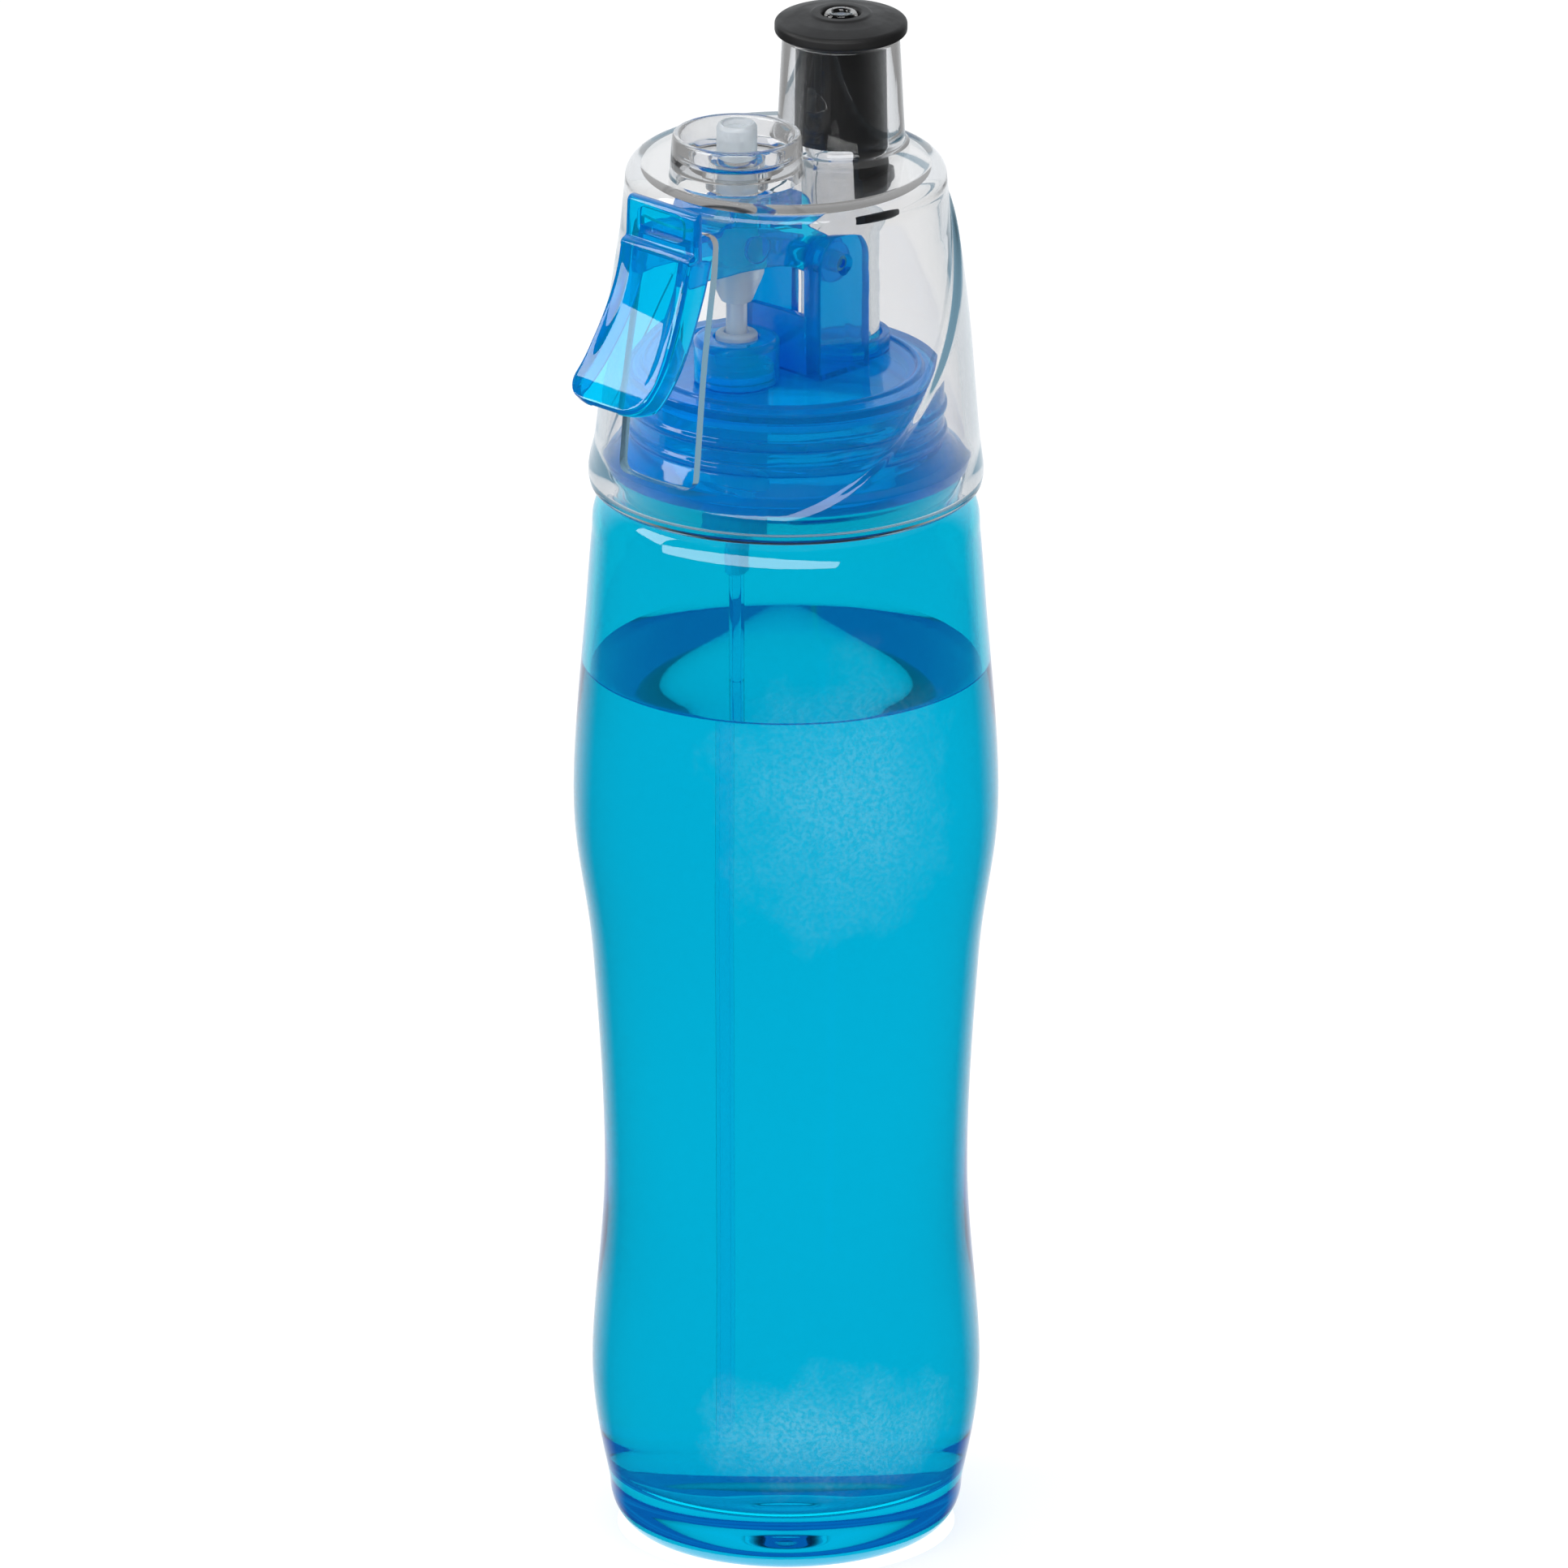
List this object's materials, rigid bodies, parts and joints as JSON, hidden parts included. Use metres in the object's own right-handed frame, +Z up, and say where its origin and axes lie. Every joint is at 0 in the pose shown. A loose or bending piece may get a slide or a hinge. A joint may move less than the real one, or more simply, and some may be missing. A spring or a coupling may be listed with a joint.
{
  "type": "sports squeeze bottle",
  "caption": "Translucent waisted drinking bottle with a screw cap, clear shroud, push-pull spout and trigger-pumped mist nozzle.",
  "frame": {"origin": "middle of the base, where the bottle's axis meets the surface it stands on", "axes": "+Z up along the bottle's axis, -Y towards the trigger, +Y towards the drinking spout, +X to the right of a viewer who faces the trigger and looks along +Y"},
  "size_m": [0.073, 0.0816, 0.271],
  "materials": {
    "bottle_blue": "clear-tinted copolyester, polished",
    "cap_blue": "clear-tinted deep blue, polished",
    "trigger_blue": "clear-tinted bright blue, polished",
    "clear_plastic": "colourless, water clear, polished",
    "white_plastic": "natural milky polypropylene",
    "spout_black": "soft satin black",
    "silicone": "translucent silicone, matte",
    "spring_steel": "drawn stainless wire, bright",
    "water": "clear drinking water"
  },
  "bodies": {
    "bottle": {"bottle_body": "bottle_blue"},
    "seal": {"neck_gasket": "silicone"},
    "cap": {"screw_cap": "cap_blue", "shroud": "clear_plastic", "pump_cap": "cap_blue", "pump_gasket": "silicone", "pump_cylinder": "white_plastic", "pump_collar": "white_plastic", "pump_spring": "spring_steel", "dip_tube": "clear_plastic", "hinge_pin": "cap_blue", "drink_tube": "clear_plastic", "drink_tube_seal": "silicone", "spout_o_ring": "silicone"},
    "trigger": {"trigger_lever": "trigger_blue"},
    "plunger": {"pump_piston": "white_plastic", "pump_stem": "white_plastic", "mist_head": "white_plastic", "nozzle_insert": "white_plastic"},
    "ball": {"check_ball": "spring_steel"},
    "spout": {"spout_valve": "spout_black"}
  },
  "joints": [
    {"name": "cap_lift", "type": "slide", "parent": "bottle", "child": "seal", "axis": [0, 0, 1], "range_m": [0, 0.0061]},
    {"name": "cap_turn", "type": "hinge", "parent": "seal", "child": "cap", "pos_m": [0, 0, 0.2], "axis": [0, 0, 1], "range_deg": [0, 540]},
    {"name": "trigger_pull", "type": "hinge", "parent": "cap", "child": "trigger", "pos_m": [0, 0.0037, 0.23], "axis": [1, 0, 0], "range_deg": [0, 12], "stiffness_Nm_per_rad": 0.3, "springref_deg": -17.19},
    {"name": "pump_stroke", "type": "slide", "parent": "cap", "child": "plunger", "axis": [0, 0, -1], "range_m": [0, 0.0036], "deforming": ["pump_spring"]},
    {"name": "ball_lift", "type": "slide", "parent": "cap", "child": "ball", "axis": [0, 0, 1], "range_m": [0, 0.0015]},
    {"name": "spout_slide", "type": "slide", "parent": "cap", "child": "spout", "axis": [0, 0, 1], "range_m": [0, 0.003]}
  ],
  "couplings": [
    {"joint": "cap_lift", "follows": "cap_turn", "m_per_rad": 0.00063662},
    {"joint": "pump_stroke", "follows": "trigger_pull", "m_per_rad": 0.0156}
  ]
}
